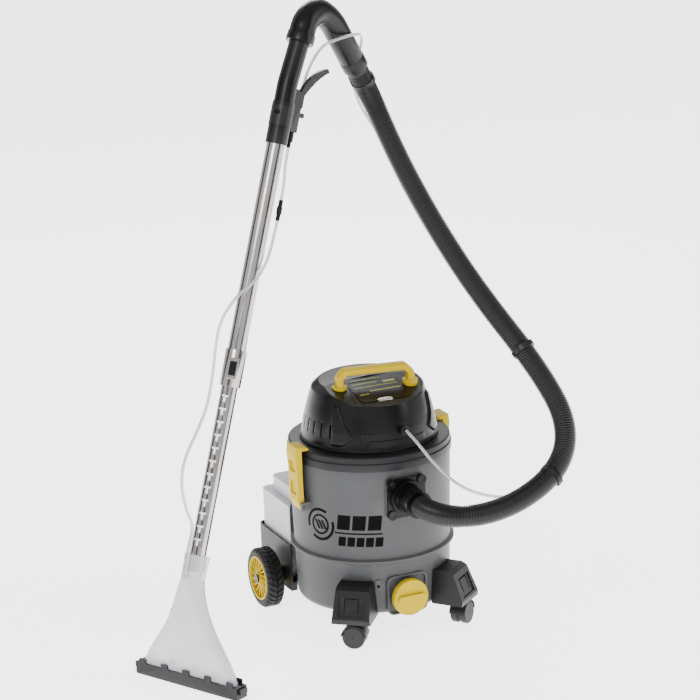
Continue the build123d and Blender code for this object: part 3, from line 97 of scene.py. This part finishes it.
MAT = {
    "grey_shell": material("grey_shell", (0.056, 0.057, 0.059), rough=0.46, spec=0.3, grain=700,
                           grain_bump=0.12, mottle=0.03),
    "dark_plastic": material("dark_plastic", (0.0065, 0.0065, 0.008), rough=0.42, spec=0.3, grain=800,
                             grain_bump=0.15),
    "black_plastic": material("black_plastic", (0.0025, 0.0025, 0.003), rough=0.30, spec=0.25, grain=800,
                              grain_bump=0.10,
                              mottle=0.15),
    "rubber": material("rubber", (0.02, 0.02, 0.02), rough=0.8),
    "yellow": material("yellow", (0.50, 0.35, 0.0), rough=0.40, spec=0.1, grain=500, grain_bump=0.05,
                       mottle=0.03, edge=0.0),
    "motor_steel": material("motor_steel", (0.35, 0.35, 0.36), rough=0.35, metallic=0.8),
    "aluminium": material("aluminium", (0.7, 0.7, 0.72), rough=0.3, metallic=1.0),
    "float_white": material("float_white", (0.8, 0.8, 0.8), rough=0.4),
    "foam": material("foam", (0.06, 0.06, 0.065), rough=0.95, grain=300, grain_bump=0.9),
    "screw": material("screw", (0.02, 0.02, 0.021), rough=0.35, metallic=0.3, spec=0.3),
    "caster_grey": material("caster_grey", (0.005, 0.005, 0.006), rough=0.42, spec=0.3, grain=700,
                            grain_bump=0.2),
    "caster_wheel": material("caster_wheel", (0.010, 0.010, 0.011), rough=0.5, spec=0.3, grain=500,
                             grain_bump=0.2),
    "tyre": material("tyre", (0.0035, 0.0035, 0.004), rough=0.6, spec=0.3, grain=420, grain_bump=0.35,
                     mottle=0.2),
    "translucent": material("translucent", (0.70, 0.71, 0.74), rough=0.42, transmission=0.30, ior=1.3,
                            grain=300,
                            grain_bump=0.05, edge=0.0),
    "clear": material("clear", (0.80, 0.80, 0.83), rough=0.22, transmission=0.62, ior=1.22, grain=160,
                      grain_bump=0.05, edge=0.0, mottle=0.08),
    "steel": material("steel", (0.42, 0.40, 0.385), rough=0.16, metallic=1.0, grain=1200,
                      grain_bump=0.02, edge=0.0),
    "hose_black": material("hose_black", (0.0018, 0.0018, 0.0028), rough=0.34, spec=0.35, grain=600,
                           grain_bump=0.1, mottle=0.2),
    "tube_clear": material("tube_clear", (0.62, 0.63, 0.66), rough=0.14, transmission=0.55, ior=1.3,
                           grain=100,
                           grain_bump=0.02, edge=0.0),
    "label": material("label", (0.003, 0.003, 0.003), rough=0.22, grain=300, grain_bump=0.02, spec=0.25),
}
PRINT = material("print_dark", (0.0012, 0.0012, 0.0014), rough=0.5, grain=600, grain_bump=0.08, edge=0.0,
                 spec=0.05)
STRIPE = material("stripe_green", (0.30, 0.34, 0.008), rough=0.25, grain=400, grain_bump=0.03)
# silver metallic oval on the head panel: a painted highlight, a bright sheet placed where there is only a
# gloss reflection
PAINTED_GLINT = material("painted_glint_silver", (0.72, 0.72, 0.73), rough=0.22, metallic=0.9, grain=900, grain_bump=0.03)
NOTCH = material("notch_bright", (0.95, 0.95, 0.95), rough=0.35, metallic=0.3, grain=900, grain_bump=0.03)
slot_of = {s["node"]: s["material_slot"] for s in frame["record"]["subparts"]}


def dress(obj, m):
    obj.data.materials.clear()
    obj.data.materials.append(m)


for name, obj in NODES.items():
    dress(obj, MAT[slot_of[name]])
dress(NODES["spray_pipe"], MAT["tube_clear"])


def mesh_object(name, verts, faces, m, body, smooth=True):
    me = D.meshes.new(name)
    me.from_pydata([tuple(v) for v in verts], [], faces)
    me.validate()
    bm = bmesh.new(); bm.from_mesh(me)
    bmesh.ops.recalc_face_normals(bm, faces=bm.faces)
    bm.to_mesh(me); bm.free()
    for p in me.polygons:
        p.use_smooth = smooth
    ob = D.objects.new(name, me)
    bpy.context.scene.collection.objects.link(ob)
    me.materials.append(m)
    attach(ob, body)
    return ob


def bevelled(ob, width, segments=2, angle=35):
    mod = ob.modifiers.new("soft_edges", "BEVEL")
    mod.width = width; mod.segments = segments
    mod.limit_method = "ANGLE"; mod.angle_limit = math.radians(angle)
    mod.harden_normals = False
    return ob


# ---------------------------------------------------------------- wand frame, as in the CAD
yaw, lean = math.radians(27.8), math.radians(21.1)
STRIP = Vector((math.sin(yaw), -math.cos(yaw), 0))
FACE = Vector((math.cos(yaw), math.sin(yaw), 0))
TUBE = Vector((math.sin(lean) * FACE.x, math.sin(lean) * FACE.y, math.cos(lean)))
SIDE = TUBE.cross(STRIP)
NOZZLE = Vector((-0.4659, -0.170, 0.0))
FOOT = NOZZLE - FACE * 0.059


def wand(x, y, z):
    return FOOT + (STRIP * x + SIDE * y + TUBE * z) * 0.001


def mm(x, y, z):
    return Vector((x, y, z)) * 0.001


# ---------------------------------------------------------------- cords
def nurbs(name, points, bevel):
    cu = D.curves.new(name, "CURVE")
    cu.dimensions = "3D"
    sp = cu.splines.new("NURBS")
    sp.points.add(len(points) - 1)
    for p, q in zip(sp.points, points):
        p.co = (*q, 1)
    sp.order_u = 3
    sp.use_endpoint_u = True
    sp.resolution_u = 12
    cu.resolution_u = 12
    cu.bevel_depth = bevel
    cu.bevel_resolution = 5
    cu.use_fill_caps = bevel > 0
    ob = D.objects.new(name, cu)
    bpy.context.scene.collection.objects.link(ob)
    return ob


def centreline(points):
    ob = nurbs("guide", points, 0.0)
    bpy.context.view_layer.update()
    me = D.meshes.new_from_object(ob.evaluated_get(bpy.context.evaluated_depsgraph_get()))
    line = [v.co.copy() for v in me.vertices]
    D.objects.remove(ob); D.meshes.remove(me)
    return line


def walk(line, step):
    """even steps along a polyline: positions and directions"""
    out = []
    acc = [0.0]
    for a, b in zip(line, line[1:]):
        acc.append(acc[-1] + (b - a).length)
    n = max(2, int(round(acc[-1] / step)))
    j = 0
    for k in range(n + 1):
        s = acc[-1] * k / n
        while j < len(acc) - 2 and acc[j + 1] < s:
            j += 1
        t = (s - acc[j]) / max(1e-9, acc[j + 1] - acc[j])
        p = line[j].lerp(line[j + 1], min(1, max(0, t)))
        out.append((p, (line[j + 1] - line[j]).normalized()))
    return out, acc[-1]


def tube_mesh(name, line, radii, step, m, body, around=36):
    pts, length = walk(line, step)
    # smooth directions
    dirs = [(pts[min(i + 3, len(pts) - 1)][0] - pts[max(i - 3, 0)][0]).normalized() for i in range(len(pts))]
    up = Vector((0, 0, 1)) if abs(dirs[0].z) < 0.9 else Vector((1, 0, 0))
    verts, faces = [], []
    side = dirs[0].cross(up).normalized()
    for i, ((p, _), d) in enumerate(zip(pts, dirs)):
        side = (side - d * side.dot(d)).normalized()
        other = d.cross(side)
        r = radii(i, len(pts))
        for k in range(around):
            a = 2 * math.pi * k / around
            verts.append(p + (side * math.cos(a) + other * math.sin(a)) * r)
    n = len(pts)
    for i in range(n - 1):
        for k in range(around):
            k2 = (k + 1) % around
            faces.append((i * around + k, i * around + k2, (i + 1) * around + k2, (i + 1) * around + k))
    faces.append(tuple(range(around - 1, -1, -1)))
    faces.append(tuple(range((n - 1) * around, n * around)))
    return mesh_object(name, verts, faces, m, body), [p for p, _ in pts], length


elbow_end = wand(0, 178, 1260)
run_out = (SIDE * (178 - 94) + TUBE * (1260 - 1316)).normalized()
hose_start = elbow_end + run_out * 0.026
hose_route = [
    hose_start,
    hose_start + run_out * 0.075,
    mm(112, 62, 905),
    mm(150, -18, 780),
    mm(196, -108, 660),
    mm(258, -236, 528),
    mm(284, -306, 430),
    mm(240, -340, 352),
    mm(120, -348, 298),
    mm(0, -318, 293),
    mm(0, -222, 293),
]
hose_line = centreline(hose_route)


def ribs(i, n):
    if i < 8 or i > n - 9:
        return 0.0212
    return 0.0215 if i % 4 in (0, 1) else 0.0192


hose, hose_path, _ = tube_mesh("hose_ribbed", hose_line, ribs, 0.0012, MAT["hose_black"], "machine",
                                      around=40)
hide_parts("hose")

pressure_route = [
    wand(-9, 58, 1140),
    wand(-9, 58, 1166),
    wand(-13, 70, 1216),
    wand(0, 82, 1264),
    wand(22, 95, 1280),
    wand(37, 125, 1298),
    wand(18, 178, 1307),
    wand(-8, 214, 1281),
    wand(-29, 229, 1236),
    mm(64, 142, 1010),
    mm(97, 109, 944),
    mm(115, 82, 887),
    mm(131, 48, 834),
    mm(149, 15, 780),
    mm(166, -23, 730),
    mm(186, -60, 679),
    mm(206, -102, 632),
    mm(226, -143, 586),
    mm(247, -188, 541),
    mm(265, -227, 493),
    mm(278, -266, 441),
    mm(266, -295, 385),
    mm(232, -314, 340),
    mm(190, -298, 306),
    mm(146, -272, 296),
    mm(90, -232, 312),
    mm(50, -194, 356),
    mm(14, -182, 412),
    mm(14, -146, 419),
]
pressure = nurbs("pressure_tube_clear", pressure_route, 0.003)
pressure.data.materials.append(MAT["tube_clear"])
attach(pressure, "machine")
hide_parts("pressure_tube")

lower_route = [wand(*p) for p in (
    (0, 48, 917), (2, 44, 878), (24, 10, 835), (27, -16, 795), (12, -44, 762), (-4, -58, 714), (-14, -48,
                                                                                                668),
    (-18, -34, 610), (-14, -37, 545), (-6, -66, 490), (0, -92, 446), (0, -90, 400), (0, -60, 350),
    (0, -28.9, 324), (0, -28.9, 300))]
lower = nurbs("spray_tube_low", lower_route, 0.003)
lower.data.materials.append(MAT["tube_clear"])
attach(lower, "machine"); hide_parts("spray_tube_lower")

upper_route = [wand(0, 39, 1057), wand(0, 39, 1028), wand(0, 48, 985), wand(0, 48, 957)]
upper = nurbs("spray_tube_high", upper_route, 0.003)
upper.data.materials.append(MAT["tube_clear"])
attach(upper, "machine"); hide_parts("spray_tube_upper")

# ---------------------------------------------------------------- surface maps
def tank_map(s, z, lift):
    """s: arc length along the tank wall from its -Y side, toward -X when negative, mm"""
    radius = 156.0 + (z - 167.5) * 0.022
    ang = s / radius
    rr = radius + lift
    return mm(math.sin(ang) * rr, -math.cos(ang) * rr, z)


def tube_map(s, z, lift):
    radius = 16.0
    ang = math.radians(-71) + s / radius
    return wand(math.cos(ang) * (radius + lift), math.sin(ang) * (radius + lift), z)


TILT = math.radians(14)


def panel_map(s, v, lift):
    """s across, v down the slope of the head's panel, mm"""
    return mm(s, -v * math.cos(TILT) - lift * math.sin(TILT),
              494 - v * math.sin(TILT) + lift * math.cos(TILT))


def slab(name, quads, mapper, m, low, high, steps=6, body="machine"):
    """closed thin plates laid on a surface; each quad is four (s, z) corners"""
    verts, faces = [], []
    for a, b, c, d in quads:
        base = len(verts)
        for lift in (low, high):
            for i in range(steps + 1):
                f = i / steps
                for p, q in ((a, b), (d, c)):
                    verts.append(mapper(p[0] + (q[0] - p[0]) * f, p[1] + (q[1] - p[1]) * f, lift))
        n = 2 * (steps + 1)
        for i in range(steps):
            k = base + 2 * i
            faces.append((k, k + 2, k + 3, k + 1))
            faces.append((k + n, k + n + 1, k + n + 3, k + n + 2))
            faces.append((k, k + n, k + n + 2, k + 2))
            faces.append((k + 1, k + 3, k + n + 3, k + n + 1))
        e = base + 2 * steps
        faces.append((base, base + 1, base + n + 1, base + n))
        faces.append((e, e + n, e + n + 1, e + 1))
    return mesh_object(name, verts, faces, m, body, smooth=False)


def box_quad(s0, z0, s1, z1, skew=0.0):
    return ((s0, z0), (s1, z0), (s1 + skew, z1), (s0 + skew, z1))


def ring_quads(cs, cz, r0, r1, gap_at=None, n=48):
    quads = []
    for k in range(n):
        a0, a1 = 2 * math.pi * k / n, 2 * math.pi * (k + 1) / n
        if gap_at and any(lo <= (a0 + a1) / 2 <= hi for lo, hi in gap_at):
            continue
        quads.append(((cs + r0 * math.cos(a0), cz + r0 * math.sin(a0)), (cs + r1 * math.cos(a0),
                                                                         cz + r1 * math.sin(a0)),
                      (cs + r1 * math.cos(a1), cz + r1 * math.sin(a1)), (cs + r0 * math.cos(a1),
                                                                         cz + r0 * math.sin(a1))))
    return quads


# plain printed mark: two rings with slanted bars, two rows of blank blocks and a rule
mark_s, mark_z = -177.0, 232.0
mark = ring_quads(mark_s, mark_z, 28.0, 33.5, gap_at=((0.35, 1.0), (3.5, 4.1)), n=60)
mark += ring_quads(mark_s, mark_z, 17.0, 21.0, n=44)
for k in (-1, 0, 1):
    mark.append(box_quad(mark_s + 8 * k + 4, mark_z - 9, mark_s + 8 * k + 9, mark_z + 9, skew=-10))
slab("tank_mark", mark, tank_map, PRINT, -0.2, 0.35, steps=1)
blocks = [box_quad(-138 + 31 * k, 228, -112 + 31 * k, 258, skew=3) for k in range(3)]
blocks += [box_quad(-143, 219, -47, 222)]
blocks += [box_quad(-136 + 18.5 * k, 194, -121 + 18.5 * k, 213, skew=2) for k in range(5)]
slab("tank_blocks", blocks, tank_map, PRINT, -0.2, 0.35, steps=8)

# stops on the inner tube
stops = []
for k in range(12):
    z = 292 + 25 * k
    stops += [box_quad(-6.5, z + 4, 6.5, z + 7.5), box_quad(-2, z - 6, 2, z + 4)]
slab("tube_stops", stops, tube_map, NOTCH, -0.3, 0.5, steps=4)

# label print on the sloping panel, and a raised silver oval there that is a painted highlight: it stands for
# a gloss reflection on the front edge of the recess, not a real badge
bands = [box_quad(-44, 12, 20, 14), box_quad(-46, 26, 8, 28), box_quad(20, 26, 46, 33), box_quad(-46, 40,
                                                                                                 46, 41.5),
         box_quad(-20, 56, 46, 58.5), box_quad(-46, 66, -26, 68)]
slab("label_bands", bands, panel_map, STRIPE, 1.0, 1.45, steps=4)

glint_v, glint_f = [], []
rings = 8
for i in range(rings + 1):
    t_ = math.pi / 2 * i / rings
    for k in range(40):
        a = 2 * math.pi * k / 40
        glint_v.append(panel_map(-4 + 22 * math.sin(t_) * math.cos(a), 92 + 6.0 * math.sin(t_) * math.sin(a),
                                 -0.5 + 2.6 * math.cos(t_)))
for i in range(rings):
    for k in range(40):
        k2 = (k + 1) % 40
        glint_f.append((i * 40 + k, i * 40 + k2, (i + 1) * 40 + k2, (i + 1) * 40 + k))
glint_f.append(tuple(range(rings * 40, rings * 40 + 40)))
mesh_object("head_painted_glint", glint_v, glint_f, PAINTED_GLINT, "machine")

# ---------------------------------------------------------------- facets of the head
PROFILE = ((377, 137.5), (382, 137.5), (385, 134.5), (418, 129.0), (442, 123.0), (480, 111.0))


def dome_radius(z):
    for (z0, r0), (z1, r1) in zip(PROFILE, PROFILE[1:]):
        if z <= z1:
            return r0 + (r1 - r0) * (z - z0) / (z1 - z0)
    return PROFILE[-1][1]


def ease(x):
    x = min(1.0, max(0.0, x))
    return x * x * (3 - 2 * x)


def facet(name, side, z0, z1, left, right, lift, body="machine"):
    """a raised field on the dome; left and right give its edges in degrees at each height"""
    nu, nv = 28, 26
    verts, faces = [], []

    def edge(table, z):
        for (a, x), (b, y) in zip(table, table[1:]):
            if z <= b:
                return x + (y - x) * (z - a) / (b - a)
        return table[-1][1]

    for j in range(nv + 1):
        z = z0 + (z1 - z0) * j / nv
        for i in range(nu + 1):
            f = i / nu
            lo, hi = edge(left, z), edge(right, z)
            ang = math.radians(lo + (hi - lo) * f) * side
            rise = ease(min(f, 1 - f) * nu / 2.5) * ease(min(j, nv - j) / 2.5)
            rr = dome_radius(z) - 0.8 + (lift + 0.8) * rise
            verts.append(mm(math.sin(ang) * rr, -math.cos(ang) * rr, z))
    w = nu + 1
    for j in range(nv):
        for i in range(nu):
            k = j * w + i
            faces.append((k, k + 1, k + w + 1, k + w))
    front = len(verts)
    for v_ in list(verts):
        r_ = math.hypot(v_.x, v_.y)
        shrink = min(1.0, (dome_radius(v_.z * 1000) - 2.0) * 0.001 / r_)
        verts.append(Vector((v_.x * shrink, v_.y * shrink, v_.z)))
    for j in range(nv):
        for i in range(nu):
            k = front + j * w + i
            faces.append((k, k + w, k + w + 1, k + 1))
    rim = [i for i in range(nu + 1)] + [j * w + nu for j in range(1, nv + 1)]
    rim += [nv * w + i for i in range(nu - 1, -1, -1)] + [j * w for j in range(nv - 1, 0, -1)]
    for a, b in zip(rim, rim[1:] + rim[:1]):
        faces.append((a, a + front, b + front, b))
    return mesh_object(name, verts, faces, MAT["black_plastic"], body)


for side, label in ((1, "left"), (-1, "right")):
    facet("head_facet_" + label, side, 387, 470,
          ((387, -58), (470, -60)), ((387, -50), (408, -36), (432, -46), (470, -55)), 4.5)
facet("head_step", 1, 408, 416, ((408, -31), (416, -31)), ((408, -14), (416, -14)), 1.6)
facet("head_brow", 1, 388, 402, ((388, -30), (402, -28)), ((388, 34), (402, 32)), 1.8)

# ---------------------------------------------------------------- tyres with tread
def tread_tyre(side, sx):
    mid_x, axle_y, axle_z = sx * 178.0, 136.0, 61.0
    half, outer, inner = 18.0, 61.0, 45.2
    around, lugs = 240, 30
    section = [(-half + 1.5, inner), (-half, inner + 3), (-half, outer - 9), (-half + 1.2, outer - 5),
               (-half + 4, outer - 1.5)]
    across = [-12, -9, -6, -3.5, -1.5, 0, 1.5, 3.5, 6, 9, 12]
    section += [(x, outer) for x in across]
    section += [(half - 4, outer - 1.5), (half - 1.2, outer - 5), (half, outer - 9), (half, inner + 3),
                (half - 1.5, inner)]
    verts, faces = [], []
    n = len(section)
    for k in range(around):
        ang = 2 * math.pi * k / around
        for x, r_ in section:
            depth = 0.0
            if r_ > outer - 7:
                phase = (k / around * lugs + abs(x) * 0.05) % 1.0
                if phase < 0.26 or abs(x) < 1.0:
                    depth = 2.6
            rr = r_ - depth
            verts.append(mm(mid_x + x, axle_y + rr * math.cos(ang), axle_z + rr * math.sin(ang)))
    for k in range(around):
        k2 = (k + 1) % around
        for i in range(n):
            i2 = (i + 1) % n
            faces.append((k * n + i, k * n + i2, k2 * n + i2, k2 * n + i))
    tyre = mesh_object("tread_" + side, verts, faces, MAT["tyre"], "wheel_" + side, smooth=False)
    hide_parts("tyre_" + side)


for side, sx in (("left", -1), ("right", 1)):
    tread_tyre(side, sx)

# small clip boss low on the tank
boss = [box_quad(-62, 104, -53, 124), box_quad(-60, 108, -55, 114)]
slab("tank_clip", boss[:1], tank_map, MAT["grey_shell"], -6.0, 2.0, steps=2)
slab("tank_clip_hole", boss[1:], tank_map, PRINT, -5.0, 2.3, steps=2)

# soft moulded edges on the CAD nodes that show
for name, width in (("carry_handle", 2.2), ("latch_left", 1.6), ("latch_right", 1.6),
                    ("caster_housing_left", 2.0),
                    ("caster_housing_right", 2.0), ("drain_cap", 1.0), ("inlet_flange", 1.0),
                    ("nozzle_strip", 0.7),
                    ("rear_tray", 1.5), ("bottle", 3.0), ("head_label", 0.4), ("trigger_lever", 1.2),
                    ("trigger_valve", 0.8), ("lock_collar", 0.8), ("lock_button", 0.8), ("switch_bezels",
                                                                                         0.8),
                    ("caster_fork_left", 0.6), ("caster_fork_right", 0.6), ("head_base", 0.8), ("tank", 0.8),
                    ("head_cover", 1.2), ("bottle_cap", 0.5), ("elbow", 0.8), ("wand_cuff", 0.8),
                    ("machine_cuff", 0.8)):
    weld = NODES[name].modifiers.new("weld", "WELD")
    weld.merge_threshold = 0.00002
    bevelled(NODES[name], width * 0.001, 3)

# ---------------------------------------------------------------- studio
floor_me = D.meshes.new("floor")
S = 8.0
floor_me.from_pydata([(-S, -S, 0), (S, -S, 0), (S, S, 0), (-S, S, 0)], [], [(0, 1, 2, 3)])
floor = D.objects.new("floor", floor_me)
bpy.context.scene.collection.objects.link(floor)
fm = material("studio_floor", (0.92, 0.92, 0.92), rough=0.9, grain=50, grain_bump=0.0, mottle=0.0, edge=0.0)
shade = fm.node_tree.nodes["Principled BSDF"]
shade.inputs["Emission Color"].default_value = (1, 1, 1, 1)
shade.inputs["Emission Strength"].default_value = 3.0
shade.inputs["Specular IOR Level"].default_value = 0.0
floor_me.materials.append(fm)

world = D.worlds.new("studio")
bpy.context.scene.world = world
world.use_nodes = True
wn, wl = world.node_tree.nodes, world.node_tree.links
back = wn["Background"]
back.inputs["Strength"].default_value = 1.15
wco = wn.new("ShaderNodeTexCoord")
sep = wn.new("ShaderNodeSeparateXYZ")
wl.new(wco.outputs["Generated"], sep.inputs["Vector"])
azim = wn.new("ShaderNodeMath"); azim.operation = "ARCTAN2"
wl.new(sep.outputs["Y"], azim.inputs[0]); wl.new(sep.outputs["X"], azim.inputs[1])
five = wn.new("ShaderNodeMath"); five.operation = "MULTIPLY_ADD"
five.inputs[1].default_value = 5.0; five.inputs[2].default_value = 0.6
wl.new(azim.outputs[0], five.inputs[0])
wave = wn.new("ShaderNodeMath"); wave.operation = "SINE"
wl.new(five.outputs[0], wave.inputs[0])
dark = wn.new("ShaderNodeMapRange")
dark.inputs["From Min"].default_value = 0.15; dark.inputs["From Max"].default_value = 0.75
wl.new(wave.outputs[0], dark.inputs["Value"])
wmix = wn.new("ShaderNodeMix"); wmix.data_type = "RGBA"
wmix.inputs["A"].default_value = (1, 1, 1, 1); wmix.inputs["B"].default_value = (0.06, 0.06, 0.065, 1)
wl.new(dark.outputs["Result"], wmix.inputs["Factor"])
wl.new(wmix.outputs["Result"], back.inputs["Color"])


def area(name, at, aim, size, power):
    li = D.lights.new(name, "AREA")
    li.shape = "RECTANGLE"; li.size = size[0]; li.size_y = size[1]; li.energy = power
    ob = D.objects.new(name, li)
    bpy.context.scene.collection.objects.link(ob)
    ob.location = at
    ob.rotation_euler = (Vector(aim) - Vector(at)).to_track_quat("-Z", "Y").to_euler()
    return ob


area("key", (-2.6, -2.6, 3.2), (0, 0, 0.45), (1.8, 1.8), 95)
area("fill", (3.0, -2.2, 2.0), (0, 0, 0.45), (1.4, 2.4), 45)
area("rim", (0.8, 3.0, 2.6), (0, 0, 0.5), (1.6, 1.2), 55)

# ---------------------------------------------------------------- camera
cam_data = D.cameras.new("camera")
cam_data.lens = 144.0
cam_data.sensor_width = 36.0
cam_data.dof.use_dof = False
cam = D.objects.new("camera", cam_data)
bpy.context.scene.collection.objects.link(cam)
fwd = Vector((0.3932, 0.8750, -0.2823)).normalized()
right = fwd.cross(Vector((0, 0, 1))).normalized()
up = right.cross(fwd)
roll = math.radians(-2.03)
r = right * math.cos(roll) + up * math.sin(roll)
v = -right * math.sin(roll) + up * math.cos(roll)
rot = Matrix((r, v, -fwd)).transposed()
cam.matrix_world = Matrix.Translation((-2.190, -4.797, 2.1005)) @ rot.to_4x4()
bpy.context.scene.camera = cam
